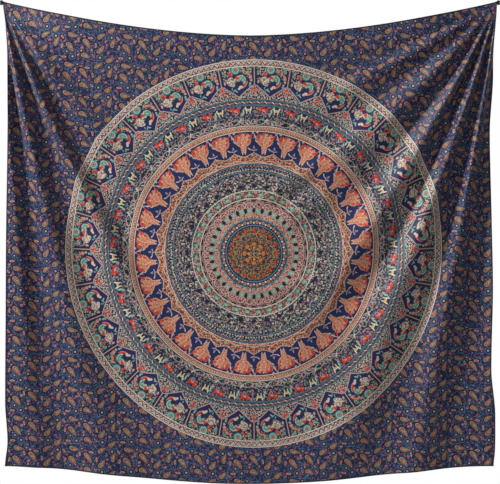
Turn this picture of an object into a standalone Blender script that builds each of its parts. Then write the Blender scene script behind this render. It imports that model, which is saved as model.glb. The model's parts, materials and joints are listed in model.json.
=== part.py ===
"""Printed cloth wall tapestry, pinned to a wall by its two top corners.

Blender 4.5, metres.  +X runs to the viewer's right, +Z up, and the wall is the plane Y = 0 with
the viewer at -Y.  The origin lies on the wall, midway between the two pins.  The sheet is about
2.30 m wide and 2.10 m tall when it is laid flat.  It hangs in a swag between its pins, so each
piece of it is a thin slab that follows one surface, given by hang_point().
"""
import math

import bmesh
import bpy
import numpy as np
from mathutils import Vector

# Overall hang
PIN_SPAN = 2.26           # pin centre to pin centre
SIDE_DROP = 2.107         # pin height to the bottom corners
TOP_SAG = 0.1587          # lowest point of the top edge below the pins
BOTTOM_SAG = 0.081        # lowest point of the bottom edge below the bottom corners
TOP_EDGE_POWER = 1.75     # shape of the sagging top edge, 2 would be a parabola
BOTTOM_EDGE_POWER = 1.6   # shape of the bottom edge's swell

# Cloth and hems
CLOTH_THICKNESS = 0.001
HEM_WIDTH = 0.006
HEM_THICKNESS = 0.0024    # three layers of the turned edge
CORNER_THICKNESS = 0.0034  # both hems folded over each other
GAP = 0.0003              # clearance between touching pieces
STITCH_WIDTH = 0.0009
STITCH_THICKNESS = 0.0006
STITCH_INSET = 0.0045     # seam line to the cloth's outer edge

# Pinned top corners
TAB_WIDTH = 0.014
TAB_ABOVE_PIN = 0.006
TAB_BELOW_PIN = 0.016
TAB_THICKNESS = 0.003
TAB_EDGE_ROUND = 0.0008

# Pins
NEEDLE_RADIUS = 0.00055
NEEDLE_IN_WALL = 0.009
NEEDLE_TIP = 0.0025
NEEDLE_IN_HEAD = 0.0035
NEEDLE_CLEARANCE = 0.00035
HEAD_FLANGE_RADIUS = 0.0036
HEAD_WAIST_RADIUS = 0.0022
HEAD_DOME_RADIUS = 0.0031
HEAD_LENGTH = 0.0078
HEAD_FLANGE_THICKNESS = 0.001

# Folds
FOLD_HEIGHT = 0.026       # half the depth of the folds that radiate from the pins
FOLDS_START_AT = 0.04     # distance from a pin at which the folds begin
FOLD_FULL_AT = 0.60       # distance from a pin at which they reach that height
FOLD_CREST = 1.35         # above 1 makes the crests narrower than the troughs
STAND_OFF = 0.040         # mean distance of the hanging cloth from the wall
SWAG_POWER = 1.3          # shape of the fold lines between the pins
CENTRE_FOLDS = 0.22       # height of the folds at the middle of the swag, as a share

# Inset of each side edge from its pin, against the share of the drop.  It starts beside the tab.
TIP_INSET = TAB_WIDTH / 2 + GAP
LEFT_INSET = ((0, TIP_INSET), (0.05, 0.020), (0.126, 0.029), (0.24, 0.0358), (0.5, 0.0267),
              (0.685, 0.0244), (0.86, 0.0222), (0.947, 0.0330), (1.0, 0.022))
RIGHT_INSET = ((0, TIP_INSET), (0.105, 0.0258), (0.17, 0.0272), (0.286, 0.0418), (0.478, 0.035),
               (0.616, 0.0304), (0.79, 0.0377), (0.893, 0.020), (0.97, 0.0218), (1.0, 0.028))

# Fold profiles: depth of the swag line under the pins, and height there from -1 to 1
LEFT_FOLDS = ((0.20, 0), (0.45, 0), (0.70, 0.05), (0.90, -0.5), (1.30, 0.8), (1.72, -0.9),
              (2.10, 1), (2.75, -1), (4.1, 0.9), (6.6, -0.8), (12, 0.6), (40, 0.2))
RIGHT_FOLDS = ((0.20, 0), (0.30, 0), (0.45, -0.2), (0.55, 0.3), (0.75, -0.3), (1.0, 0.6),
               (1.3, -0.8), (1.68, 1), (2.0, -1), (2.65, 1), (3.7, -0.8), (5.0, 0.9),
               (9, -0.7), (40, 0.1))

# Mesh density
COLUMNS = 42
ROWS = 34
COLUMN_CROWDING = 0.6     # above 0 crowds the columns towards the sides, where the folds are
ROW_CROWDING = 1.25       # above 1 crowds the rows towards the pins
ROUND_SIDES = 16

HALF_SPAN = PIN_SPAN / 2
HEM_ACROSS = HEM_WIDTH / HALF_SPAN
GAP_ACROSS = GAP / HALF_SPAN
HEM_DOWN = HEM_WIDTH / SIDE_DROP
GAP_DOWN = GAP / SIDE_DROP


def clear_scene():
    for thing in list(bpy.data.objects):
        bpy.data.objects.remove(thing, do_unlink=True)


def make_material(name, colour, roughness, metallic=0.0):
    material = bpy.data.materials.new(name)
    material.use_nodes = True
    shader = material.node_tree.nodes["Principled BSDF"]
    shader.inputs["Base Color"].default_value = (*colour, 1.0)
    shader.inputs["Roughness"].default_value = roughness
    shader.inputs["Metallic"].default_value = metallic
    material.diffuse_color = (*colour, 1.0)
    return material


def smooth_through(points, value):
    """A smooth curve through (place, height) points, flat at each crest and trough."""
    places = np.array([p[0] for p in points], float)
    heights = np.array([p[1] for p in points], float)
    steps = np.diff(places)
    slopes = np.diff(heights) / steps
    tangents = np.zeros(len(places))
    same_way = slopes[:-1] * slopes[1:] > 0
    tangents[1:-1] = np.where(same_way, (slopes[:-1] + slopes[1:]) / 2, 0.0)
    value = np.clip(value, places[0], places[-1])
    k = np.clip(np.searchsorted(places, value, side="right") - 1, 0, len(steps) - 1)
    t = (value - places[k]) / steps[k]
    start = heights[k] * (1 + 2 * t) * (1 - t) ** 2 + tangents[k] * steps[k] * t * (1 - t) ** 2
    end = heights[k + 1] * t ** 2 * (3 - 2 * t) + tangents[k + 1] * steps[k] * t ** 2 * (t - 1)
    return start + end


def smooth_step(value, low, high):
    t = np.clip((value - low) / (high - low), 0.0, 1.0)
    return t * t * (3 - 2 * t)


def front_outline(across, down):
    """Place of a point of the sheet seen from the front.  across runs -1 to 1, down 0 to 1."""
    left = -(HALF_SPAN - smooth_through(LEFT_INSET, down))
    right = HALF_SPAN - smooth_through(RIGHT_INSET, down)
    x = left + (right - left) * (across + 1) / 2
    top = -TOP_SAG * (1 - np.abs(across) ** TOP_EDGE_POWER)
    swell = np.cos(math.pi / 2 * np.clip(across, -1, 1)) ** BOTTOM_EDGE_POWER
    bottom = -SIDE_DROP - BOTTOM_SAG * swell
    return x, top + (bottom - top) * down


def fold_height(x, z):
    """Height of the cloth in front of the wall.  The fold lines are swags between the pins."""
    u = np.clip(np.abs(x) / HALF_SPAN, 0.0, 0.995)
    swag = np.clip(-z / (1 - u ** SWAG_POWER), LEFT_FOLDS[0][0], LEFT_FOLDS[-1][0])
    in_log = [[(math.log(place), height) for place, height in side]
              for side in (LEFT_FOLDS, RIGHT_FOLDS)]
    left = smooth_through(in_log[0], np.log(swag))
    right = smooth_through(in_log[1], np.log(swag))
    profile = left + (right - left) * smooth_step(x, -0.35, 0.35)
    profile = 2 * ((profile + 1) / 2) ** FOLD_CREST - 1
    reach = np.hypot(HALF_SPAN - np.abs(x), z)
    rise = smooth_step(reach, FOLDS_START_AT, FOLD_FULL_AT)
    fade = 1 - 0.55 * smooth_step(reach, 1.1, 2.1)
    centre = CENTRE_FOLDS + (1 - CENTRE_FOLDS) * smooth_step(u, 0.1, 0.6)
    stand = TAB_THICKNESS / 2 + CORNER_THICKNESS / 2 + STAND_OFF * rise
    return stand + FOLD_HEIGHT * rise * fade * centre * profile


def hang_point(across, down, lift=0.0):
    """Point of the hanging sheet, moved off its middle surface by lift towards the viewer.

    A hem is level from its edge to its fold, so it takes its height from the panel beside it.
    """
    x, z = front_outline(across, down)
    across_limit = 1 - HEM_ACROSS - GAP_ACROSS
    down_limit = HEM_DOWN + GAP_DOWN
    beside = front_outline(np.clip(across, -across_limit, across_limit),
                           np.clip(down, down_limit, 1 - down_limit))
    return np.stack([x, -fold_height(*beside) - lift, z], axis=-1)


def add_object(name, mesh, material):
    thing = bpy.data.objects.new(name, mesh)
    mesh.materials.append(material)
    bpy.context.scene.collection.objects.link(thing)
    return thing


def split_quad(mesh, corners, falls_right):
    """Two triangles.  corners run top left, bottom left, bottom right, top right of the cell."""
    top_left, low_left, low_right, top_right = corners
    if falls_right:
        mesh.faces.new((top_left, low_left, low_right))
        mesh.faces.new((top_left, low_right, top_right))
    else:
        mesh.faces.new((top_left, low_left, top_right))
        mesh.faces.new((low_left, low_right, top_right))


def cloth_slab(name, columns, rows, thickness, material, lift=0.0):
    """A closed slab of the hanging sheet between the given columns and rows of the sheet.

    Each cell is split along the way the folds run there, down and away from its own pin.
    """
    across, down = np.meshgrid(columns, rows)
    mesh = bmesh.new()
    layers = []
    for side in (1, -1):
        points = hang_point(across, down, lift + side * thickness / 2)
        layers.append([[mesh.verts.new(Vector(p)) for p in row] for row in points])
    last_row = len(rows) - 1
    last_column = len(columns) - 1
    for layer in layers:
        for j in range(last_row):
            for i in range(last_column):
                cell = (layer[j][i], layer[j + 1][i], layer[j + 1][i + 1], layer[j][i + 1])
                split_quad(mesh, cell, columns[i] + columns[i + 1] < 0)
    front, back = layers
    for row in (0, last_row):
        for i in range(last_column):
            edge = (front[row][i], back[row][i], back[row][i + 1], front[row][i + 1])
            split_quad(mesh, edge, True)
    for column in (0, last_column):
        for j in range(last_row):
            edge = (front[j][column], back[j][column],
                    back[j + 1][column], front[j + 1][column])
            split_quad(mesh, edge, True)
    bmesh.ops.recalc_face_normals(mesh, faces=mesh.faces[:])
    data = bpy.data.meshes.new(name)
    mesh.to_mesh(data)
    mesh.free()
    data.shade_smooth()
    data.set_sharp_from_angle(angle=math.radians(50))
    return add_object(name, data, material)


def sheet_columns():
    t = np.linspace(-1, 1, COLUMNS + 1)
    crowded = t + COLUMN_CROWDING * np.sin(math.pi * t) / math.pi
    return crowded * (1 - HEM_ACROSS - GAP_ACROSS)


def sheet_rows():
    t = np.linspace(0, 1, ROWS + 1) ** ROW_CROWDING
    first = HEM_DOWN + GAP_DOWN
    return first + t * (1 - 2 * first)


def make_sheet(materials):
    columns = sheet_columns()
    rows = sheet_rows()
    full_columns = [-1.0, *columns, 1.0]
    left_band = [-1.0, -1.0 + HEM_ACROSS]
    right_band = [1.0 - HEM_ACROSS, 1.0]
    top_band = [0.0, HEM_DOWN]
    bottom_band = [1.0 - HEM_DOWN, 1.0]
    hem = materials["hem"]
    pieces = [
        cloth_slab("cloth_panel", columns, rows, CLOTH_THICKNESS, materials["print"]),
        cloth_slab("hem_top", full_columns, top_band, HEM_THICKNESS, hem),
        cloth_slab("hem_bottom", columns, bottom_band, HEM_THICKNESS, hem),
        cloth_slab("hem_left", left_band, rows, HEM_THICKNESS, hem),
        cloth_slab("hem_right", right_band, rows, HEM_THICKNESS, hem),
        cloth_slab("bottom_left_corner", left_band, bottom_band, CORNER_THICKNESS, hem),
        cloth_slab("bottom_right_corner", right_band, bottom_band, CORNER_THICKNESS, hem),
    ]
    return pieces + make_stitching(columns, rows, full_columns, materials["thread"])


def make_stitching(columns, rows, full_columns, thread):
    """One line of thread along each hem, lying on the hem's front."""
    lift = (HEM_THICKNESS + STITCH_THICKNESS) / 2 + GAP
    near = (STITCH_INSET - STITCH_WIDTH / 2) / SIDE_DROP
    far = (STITCH_INSET + STITCH_WIDTH / 2) / SIDE_DROP
    inner = (STITCH_INSET - STITCH_WIDTH / 2) / HALF_SPAN
    outer = (STITCH_INSET + STITCH_WIDTH / 2) / HALF_SPAN
    runs = {
        "stitching_top": (full_columns, [near, far]),
        "stitching_bottom": (columns, [1 - far, 1 - near]),
        "stitching_left": ([-1 + inner, -1 + outer], rows),
        "stitching_right": ([1 - outer, 1 - inner], rows),
    }
    return [cloth_slab(name, across, down, STITCH_THICKNESS, thread, lift)
            for name, (across, down) in runs.items()]


def make_tab(name, x, material):
    """Flat pinned corner of the cloth, with its hole around the needle."""
    mesh = bmesh.new()
    bmesh.ops.create_cube(mesh, size=1.0)
    for vertex in mesh.verts:
        vertex.co.x = x + vertex.co.x * TAB_WIDTH
        vertex.co.y = (vertex.co.y - 0.5) * TAB_THICKNESS
        vertex.co.z = TAB_ABOVE_PIN if vertex.co.z > 0 else -TAB_BELOW_PIN
    upright = [edge for edge in mesh.edges
               if abs(edge.verts[0].co.y - edge.verts[1].co.y) > TAB_THICKNESS / 2]
    bmesh.ops.bevel(mesh, geom=upright, offset=TAB_EDGE_ROUND, segments=2, affect="EDGES")
    data = bpy.data.meshes.new(name)
    mesh.to_mesh(data)
    mesh.free()
    tab = add_object(name, data, material)
    bpy.ops.mesh.primitive_cylinder_add(
        vertices=ROUND_SIDES, radius=NEEDLE_RADIUS + NEEDLE_CLEARANCE, depth=TAB_THICKNESS * 3,
        location=(x, -TAB_THICKNESS / 2, 0), rotation=(math.pi / 2, 0, 0))
    cutter = bpy.context.object
    cutter.name = name + "_hole_cutter"
    cutter.hide_render = True
    cutter.display_type = "WIRE"
    hole = tab.modifiers.new("needle hole", "BOOLEAN")
    hole.operation = "DIFFERENCE"
    hole.solver = "EXACT"
    hole.object = cutter
    return tab


def turned(name, profile, x, material):
    """Closed solid turned about the pin's axis.  profile holds (radius, y), wall side first."""
    mesh = bmesh.new()
    rings = []
    for radius, y in profile:
        if radius == 0:
            rings.append([mesh.verts.new((0, y, 0))])
            continue
        turns = [2 * math.pi * k / ROUND_SIDES for k in range(ROUND_SIDES)]
        rings.append([mesh.verts.new((radius * math.cos(t), y, radius * math.sin(t)))
                      for t in turns])
    for one, two in zip(rings, rings[1:]):
        for k in range(ROUND_SIDES):
            n = (k + 1) % ROUND_SIDES
            corners = [one[k % len(one)], one[n % len(one)],
                       two[n % len(two)], two[k % len(two)]]
            mesh.faces.new(list(dict.fromkeys(corners)))
    bmesh.ops.recalc_face_normals(mesh, faces=mesh.faces[:])
    data = bpy.data.meshes.new(name)
    mesh.to_mesh(data)
    mesh.free()
    data.shade_smooth()
    data.set_sharp_from_angle(angle=math.radians(40))
    thing = add_object(name, data, material)
    thing.location = (x, 0, 0)
    return thing


def dome(base_y, radius, steps):
    """Quarter-round end of the head, from its widest ring to the point on the axis."""
    turns = [math.pi / 2 * k / steps for k in range(steps)]
    arc = [(radius * math.cos(t), base_y - radius * 0.6 * math.sin(t)) for t in turns]
    return arc + [(0, base_y - radius * 0.6)]


def make_pin(side, x, materials):
    """Push pin: a turned head and the needle that sits in its bore."""
    seat = -TAB_THICKNESS - GAP
    bore = NEEDLE_RADIUS + NEEDLE_CLEARANCE
    bore_end = seat - NEEDLE_IN_HEAD - GAP
    widest = seat - HEAD_LENGTH + HEAD_DOME_RADIUS * 0.6
    flange = seat - HEAD_FLANGE_THICKNESS
    waist = (flange + widest) / 2
    head = [(0, bore_end), (bore, bore_end), (bore, seat), (HEAD_FLANGE_RADIUS, seat),
            (HEAD_FLANGE_RADIUS, flange), (HEAD_WAIST_RADIUS, waist)]
    head += dome(widest, HEAD_DOME_RADIUS, 4)
    pivot = bpy.data.objects.new(side + "_pin_axis", None)
    pivot.location = (x, 0, 0)
    bpy.context.scene.collection.objects.link(pivot)
    needle = [(0, NEEDLE_IN_WALL), (NEEDLE_RADIUS, NEEDLE_IN_WALL - NEEDLE_TIP),
              (NEEDLE_RADIUS, seat - NEEDLE_IN_HEAD), (0, seat - NEEDLE_IN_HEAD)]
    for part, profile, slot in (("head", head, "pin"), ("needle", needle, "steel")):
        solid = turned(side + "_pin_" + part, profile, 0, materials[slot])
        solid.parent = pivot
    return pivot


def hinge_sheet(pieces):
    """Parents the hanging sheet to an empty on the line through both pins."""
    hinge = bpy.data.objects.new("sheet_hinge_axis", None)
    hinge.location = (0, -(TAB_THICKNESS + CORNER_THICKNESS) / 2, 0)
    bpy.context.scene.collection.objects.link(hinge)
    bpy.context.view_layer.update()
    for piece in pieces:
        piece.parent = hinge
        piece.matrix_parent_inverse = hinge.matrix_world.inverted()


def main():
    clear_scene()
    materials = {
        "print": make_material("printed_cloth", (0.085, 0.095, 0.20), 0.62),
        "hem": make_material("dark_hem", (0.012, 0.013, 0.030), 0.75),
        "thread": make_material("sewing_thread", (0.05, 0.055, 0.10), 0.6),
        "pin": make_material("pin_plastic", (0.012, 0.010, 0.012), 0.35),
        "steel": make_material("needle_steel", (0.55, 0.55, 0.56), 0.28, 1.0),
    }
    hinge_sheet(make_sheet(materials))
    for side, x in (("left", -HALF_SPAN), ("right", HALF_SPAN)):
        make_tab("top_" + side + "_corner", x, materials["hem"])
        make_pin(side, x, materials)


main()
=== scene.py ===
"""Looks of the printed wall tapestry: the hanging sheet, its print, hems, stitches and pins."""

import json
import math

import bmesh
import bpy
import numpy as np
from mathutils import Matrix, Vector

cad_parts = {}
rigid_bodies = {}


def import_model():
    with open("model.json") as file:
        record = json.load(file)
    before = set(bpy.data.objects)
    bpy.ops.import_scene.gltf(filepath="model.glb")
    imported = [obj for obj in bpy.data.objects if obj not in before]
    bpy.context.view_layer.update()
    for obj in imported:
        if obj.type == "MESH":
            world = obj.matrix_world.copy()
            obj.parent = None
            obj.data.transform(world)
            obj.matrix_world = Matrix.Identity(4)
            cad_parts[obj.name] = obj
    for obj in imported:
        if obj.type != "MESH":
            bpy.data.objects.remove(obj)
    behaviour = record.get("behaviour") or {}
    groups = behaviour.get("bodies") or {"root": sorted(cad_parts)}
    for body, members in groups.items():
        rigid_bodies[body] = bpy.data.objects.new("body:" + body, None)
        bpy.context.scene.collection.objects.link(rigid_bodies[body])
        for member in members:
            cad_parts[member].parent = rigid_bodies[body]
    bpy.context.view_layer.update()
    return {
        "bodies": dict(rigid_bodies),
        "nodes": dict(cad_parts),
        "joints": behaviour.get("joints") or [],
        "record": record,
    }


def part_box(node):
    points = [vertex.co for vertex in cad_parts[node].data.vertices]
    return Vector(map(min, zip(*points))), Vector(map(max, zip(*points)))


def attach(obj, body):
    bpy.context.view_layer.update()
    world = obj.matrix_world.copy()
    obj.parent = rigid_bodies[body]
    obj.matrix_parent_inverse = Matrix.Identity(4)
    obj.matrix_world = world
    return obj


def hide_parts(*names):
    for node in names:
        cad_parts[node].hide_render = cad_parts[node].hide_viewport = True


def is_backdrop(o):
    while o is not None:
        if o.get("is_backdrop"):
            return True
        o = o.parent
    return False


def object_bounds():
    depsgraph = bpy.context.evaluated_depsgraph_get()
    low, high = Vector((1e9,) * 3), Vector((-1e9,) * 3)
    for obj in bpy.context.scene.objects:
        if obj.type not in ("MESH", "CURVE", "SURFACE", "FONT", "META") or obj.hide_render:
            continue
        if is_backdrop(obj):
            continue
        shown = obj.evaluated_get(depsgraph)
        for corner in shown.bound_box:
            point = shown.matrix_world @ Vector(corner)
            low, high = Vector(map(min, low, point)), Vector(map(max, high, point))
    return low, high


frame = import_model()

# ---------------------------------------------------------------- sizes, metres

FLAT_WIDTH = 2.30
FLAT_LENGTH = 2.10
CLOTH_THICKNESS = 0.0006
CAD_HEM_WIDTH = 0.006
HEM_WIDTH = 0.0062
HEM_THICKNESS = 0.0022
PUCKER_PITCH = 0.012
EDGE_LENGTH = 2.2
STITCH_LENGTH = 0.0030
STITCH_PITCH = 0.0040
STITCH_RADIUS = 0.00032
STITCH_INSET = 0.0045
CORNER_SIZE = 0.0082
CORNER_CURL = 0.0030
BOX_STITCH_LENGTH = 0.0026
BOX_STITCH_RADIUS = 0.00026
BOX_STITCH_INSET = 0.0021
BOX_STITCH_TOP = -0.0052
FLARE = 0.9
FLARE_FROM = 0.958
FLARE_TO = 0.992

LEFT_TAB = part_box("top_left_corner")
RIGHT_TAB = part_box("top_right_corner")
LEFT_PIN = (LEFT_TAB[0].x + LEFT_TAB[1].x) / 2
RIGHT_PIN = (RIGHT_TAB[0].x + RIGHT_TAB[1].x) / 2
HALF_SPAN = (RIGHT_PIN - LEFT_PIN) / 2
TAB_THICKNESS = LEFT_TAB[1].y - LEFT_TAB[0].y
SIDE_DROP = -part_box("bottom_left_corner")[0].z
TOP_SAG = -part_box("hem_top")[0].z - CAD_HEM_WIDTH
BOTTOM_SAG = -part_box("hem_bottom")[0].z - SIDE_DROP
TIP_INSET = HALF_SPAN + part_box("hem_top")[0].x

# The hanging shape, with folds a little deeper than the CAD sheet's.
# The inset and fold tables are (place, height) points: places down an edge from 0 to 1,
# or along the swags, whose numbers grow from the top edge towards the sides.
TOP_EDGE_POWER = 1.75
BOTTOM_EDGE_POWER = 1.6
FOLD_HEIGHT = 0.033
FOLDS_START_AT = 0.02
FOLD_FULL_AT = 0.36
FOLD_CREST = 1.35
FADE_SHARE = 0.38
FADE_FROM = 1.1
FADE_TO = 2.1
STAND_OFF = 0.040
SWAG_POWER = 1.3
CENTRE_FOLDS = 0.22
LEFT_INSET = ((0, TIP_INSET), (0.05, 0.020), (0.126, 0.029), (0.24, 0.0358), (0.5, 0.0267),
              (0.685, 0.0244), (0.86, 0.0222), (0.947, 0.0330), (1.0, 0.022))
RIGHT_INSET = ((0, TIP_INSET), (0.105, 0.0258), (0.17, 0.0272), (0.286, 0.0418), (0.478, 0.035),
               (0.616, 0.0304), (0.79, 0.0377), (0.893, 0.020), (0.97, 0.0218), (1.0, 0.028))
LEFT_FOLDS = ((0.20, 0), (0.45, 0), (0.70, 0.05), (0.90, -0.5), (1.30, 0.8), (1.72, -0.9),
              (2.10, 1), (2.75, -1), (4.1, 0.9), (6.6, -0.8), (12, 0.6), (40, 0.2))
RIGHT_FOLDS = ((0.20, 0), (0.30, 0), (0.45, -0.2), (0.55, 0.3), (0.75, -0.3), (1.0, 0.6),
               (1.3, -0.5), (1.68, 0.75), (2.0, -1), (2.65, 1), (3.7, -0.8), (5.0, 0.9),
               (9, -0.7), (40, 0.1))

# Wider dents: place x and z, lean in degrees, length, width, height.
WRINKLES = ((0.23, -0.83, 33, 0.17, 0.050, 0.022), (0.20, -1.02, 24, 0.20, 0.060, 0.008),
            (0.17, -1.32, 8, 0.24, 0.050, 0.012), (0.50, -0.62, 50, 0.10, 0.045, 0.012),
            (-0.15, -0.95, -30, 0.20, 0.060, 0.005), (0.10, -1.20, 20, 0.30, 0.060, 0.005))
RIPPLE_SETS = 9
RIPPLE_SHARE = 0.006
COLUMNS = 220
ROWS = 200
COLUMN_CROWDING = 0.45
BAKE_MAP = "OFBake"
FLAT_MAP = "flat"
BACK_SHARE = 0.20
FOLD_SHARE = 0.22
FLAT_CENTRE = (0.020, 0.030)
PRINT_CENTRE = (0.0174, -1.1455)
PRINT_STRETCH = (1.068, 1.024)
VIEW_MIDDLE = -1.0931


# ---------------------------------------------------------------- the hanging shape

def smooth_through(points, value):
    """A smooth curve through (place, height) points, flat at each crest and trough."""
    places = np.array([p[0] for p in points], float)
    heights = np.array([p[1] for p in points], float)
    steps = np.diff(places)
    slopes = np.diff(heights) / steps
    tangents = np.zeros(len(places))
    same_way = slopes[:-1] * slopes[1:] > 0
    tangents[1:-1] = np.where(same_way, (slopes[:-1] + slopes[1:]) / 2, 0.0)
    value = np.clip(value, places[0], places[-1])
    k = np.clip(np.searchsorted(places, value, side="right") - 1, 0, len(steps) - 1)
    t = (value - places[k]) / steps[k]
    start = heights[k] * (1 + 2 * t) * (1 - t) ** 2 + tangents[k] * steps[k] * t * (1 - t) ** 2
    end = heights[k + 1] * t ** 2 * (3 - 2 * t) + tangents[k + 1] * steps[k] * t ** 2 * (t - 1)
    return start + end


def smooth_step(value, low, high):
    t = np.clip((value - low) / (high - low), 0.0, 1.0)
    return t * t * (3 - 2 * t)


def front_outline(across, down):
    """Place of a point of the sheet seen from the front.  across runs -1 to 1, down 0 to 1."""
    left = LEFT_PIN + smooth_through(LEFT_INSET, down)
    right = RIGHT_PIN - smooth_through(RIGHT_INSET, down)
    x = left + (right - left) * (across + 1) / 2
    top = -TOP_SAG * (1 - np.abs(across) ** TOP_EDGE_POWER)
    swell = np.cos(math.pi / 2 * np.clip(across, -1, 1)) ** BOTTOM_EDGE_POWER
    bottom = -SIDE_DROP - BOTTOM_SAG * swell
    return x, top + (bottom - top) * down


def fold_height(x, z):
    """Height of the cloth in front of the wall.  The fold lines are swags between the pins."""
    u = np.clip(np.abs(x) / HALF_SPAN, 0.0, 0.995)
    swag = np.clip(-z / (1 - u ** SWAG_POWER), LEFT_FOLDS[0][0], LEFT_FOLDS[-1][0])
    in_log = [[(math.log(place), height) for place, height in side]
              for side in (LEFT_FOLDS, RIGHT_FOLDS)]
    left = smooth_through(in_log[0], np.log(swag))
    right = smooth_through(in_log[1], np.log(swag))
    profile = left + (right - left) * smooth_step(x, -0.35, 0.35)
    profile = 2 * ((profile + 1) / 2) ** FOLD_CREST - 1
    reach = np.hypot(HALF_SPAN - np.abs(x), z)
    rise = smooth_step(reach, FOLDS_START_AT, FOLD_FULL_AT)
    fade = 1 - FADE_SHARE * smooth_step(reach, FADE_FROM, FADE_TO)
    centre = CENTRE_FOLDS + (1 - CENTRE_FOLDS) * smooth_step(u, 0.1, 0.6)
    stand = TAB_THICKNESS + STAND_OFF * rise
    return stand + FOLD_HEIGHT * rise * fade * centre * profile


def wrinkles(x, z):
    """Height of the wider dents beside the middle."""
    total = np.zeros_like(x)
    for place_x, place_z, lean, long, wide, height in WRINKLES:
        c, s = math.cos(math.radians(lean)), math.sin(math.radians(lean))
        along = ((x - place_x) * c + (z - place_z) * s) / long
        across = ((z - place_z) * c - (x - place_x) * s) / wide
        total += height * across * np.exp(-across ** 2 - along ** 2)
    return total


def ripples(x, z):
    """Small soft creases in patches, each set with a pitch and a lean of its own."""
    total = wrinkles(x, z)
    for k in range(RIPPLE_SETS):
        lean = 0.9 * math.sin(2.3 * k)
        pitch = 0.045 + 0.011 * k
        phase = 2 * math.pi * (x + lean * 0.35 * z + 0.02 * np.sin(3 * z + k)) / pitch + 1.7 * k
        patch = np.sin(1.7 * x * (1 + 0.2 * k) + 2.1 * k) * np.sin(2.3 * z + 1.3 * k)
        total += RIPPLE_SHARE * np.sin(phase) * np.clip(patch, 0, 1) * pitch
    return total


def hang_point(across, down):
    """A point of the hanging sheet's middle surface."""
    x, z = front_outline(across, down)
    return np.stack([x, -fold_height(x, z) - ripples(x, z), z], axis=-1)


# ---------------------------------------------------------------- mesh helpers

def new_object(name, mesh, *materials):
    thing = bpy.data.objects.new(name, mesh)
    for material in materials:
        mesh.materials.append(material)
    bpy.context.scene.collection.objects.link(thing)
    return thing


def grid_faces(rows, columns, first=0, flip=False):
    """Quads of a grid of vertices stored row by row."""
    j, i = np.meshgrid(np.arange(rows), np.arange(columns), indexing="ij")
    a = first + j * (columns + 1) + i
    quads = np.stack([a, a + columns + 1, a + columns + 2, a + 1], axis=-1).reshape(-1, 4)
    return quads[:, ::-1] if flip else quads


def mesh_from(name, points, quads):
    mesh = bpy.data.meshes.new(name)
    mesh.from_pydata(points.tolist(), [], quads.tolist())
    mesh.shade_smooth()
    return mesh


def crowded(count, crowding):
    t = np.linspace(-1, 1, count + 1)
    return t + crowding * np.sin(math.pi * t) / math.pi


def running_length(points, axis):
    """Length along the grid's rows or columns, as a share of each one's whole length."""
    steps = np.linalg.norm(np.diff(points, axis=axis), axis=-1)
    zero = np.zeros_like(np.take(steps, [0], axis=axis))
    length = np.concatenate([zero, np.cumsum(steps, axis=axis)], axis=axis)
    return length / np.take(length, [-1], axis=axis)


# ---------------------------------------------------------------- node helpers

tree = None  # the node tree being built


class Num:
    """One output of a node, with arithmetic that adds Math nodes."""

    def __init__(self, socket):
        self.socket = socket

    def __abs__(self):
        return calc("ABSOLUTE", self)


def add_arithmetic(sign, operation):
    setattr(Num, f"__{sign}__", lambda self, other: calc(operation, self, other))
    setattr(Num, f"__r{sign}__", lambda self, other: calc(operation, other, self))


for sign, operation in (("add", "ADD"), ("sub", "SUBTRACT"), ("mul", "MULTIPLY"),
                        ("truediv", "DIVIDE")):
    add_arithmetic(sign, operation)


def put(socket, value):
    if isinstance(value, Num):
        tree.links.new(value.socket, socket)
    else:
        socket.default_value = value


def make(kind, **settings):
    node = tree.nodes.new(kind)
    for name, value in settings.items():
        setattr(node, name, value)
    return node


def calc(operation, *values):
    node = make("ShaderNodeMath", operation=operation)
    for socket, value in zip(node.inputs, values):
        put(socket, value)
    return Num(node.outputs[0])


def scaled(value, times, plus):
    return calc("MULTIPLY_ADD", value, times, plus)


def least(*values):
    result = values[0]
    for value in values[1:]:
        result = calc("MINIMUM", result, value)
    return result


def most(first, second):
    return calc("MAXIMUM", first, second)


def folded(value, period):
    """value wrapped into -period/2 to period/2."""
    return calc("WRAP", value, period / 2, -period / 2)


def zigzag(value, period):
    """A wave of straight lines from 0 to 1, 0 where value is 0."""
    return calc("PINGPONG", value, period / 2) * (2 / period)


def point(x, y, z=0.0):
    node = make("ShaderNodeCombineXYZ")
    for socket, value in zip(node.inputs, (x, y, z)):
        put(socket, value)
    return Num(node.outputs[0])


def parts(vector):
    node = make("ShaderNodeSeparateXYZ")
    put(node.inputs[0], vector)
    return [Num(output) for output in node.outputs]


def vector_sum(vector, scale, offset):
    node = make("ShaderNodeVectorMath", operation="MULTIPLY_ADD")
    for socket, value in zip(node.inputs, (vector, scale, offset)):
        put(socket, value)
    return Num(node.outputs["Vector"])


class Frame:
    """A pair of coordinates that motifs are placed in."""

    def __init__(self, x, y):
        self.x, self.y = x, y
        self.made = {}

    def pair(self, names):
        if names not in self.made:
            self.made[names] = point(*[getattr(self, name) for name in names])
        return self.made[names]


def seen_from(frame, x, y, wide=1.0, tall=1.0, turn=0.0):
    """The frame as a motif sees it: its middle, its half sizes, and its turn in degrees."""
    if turn == 0:
        return vector_sum(frame.pair("xy"), (1 / wide, 1 / tall, 0), (-x / wide, -y / tall, 0))
    c, s = math.cos(math.radians(turn)), math.sin(math.radians(turn))
    offset = (-(x * c + y * s) / wide, (x * s - y * c) / tall, 0)
    part = vector_sum(frame.pair("yy"), (s / wide, c / tall, 0), offset)
    return vector_sum(frame.pair("xx"), (c / wide, -s / tall, 0), part)


def length_of(vector):
    node = make("ShaderNodeVectorMath", operation="LENGTH")
    put(node.inputs[0], vector)
    return Num(node.outputs["Value"])


def oval(p, x, y, wide, tall, turn=0.0):
    """0 at the motif's middle, 1 on its edge."""
    return length_of(seen_from(p, x, y, wide, tall, turn))


def ovals(p, *motifs):
    return least(*[oval(p, *motif) for motif in motifs])


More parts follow.
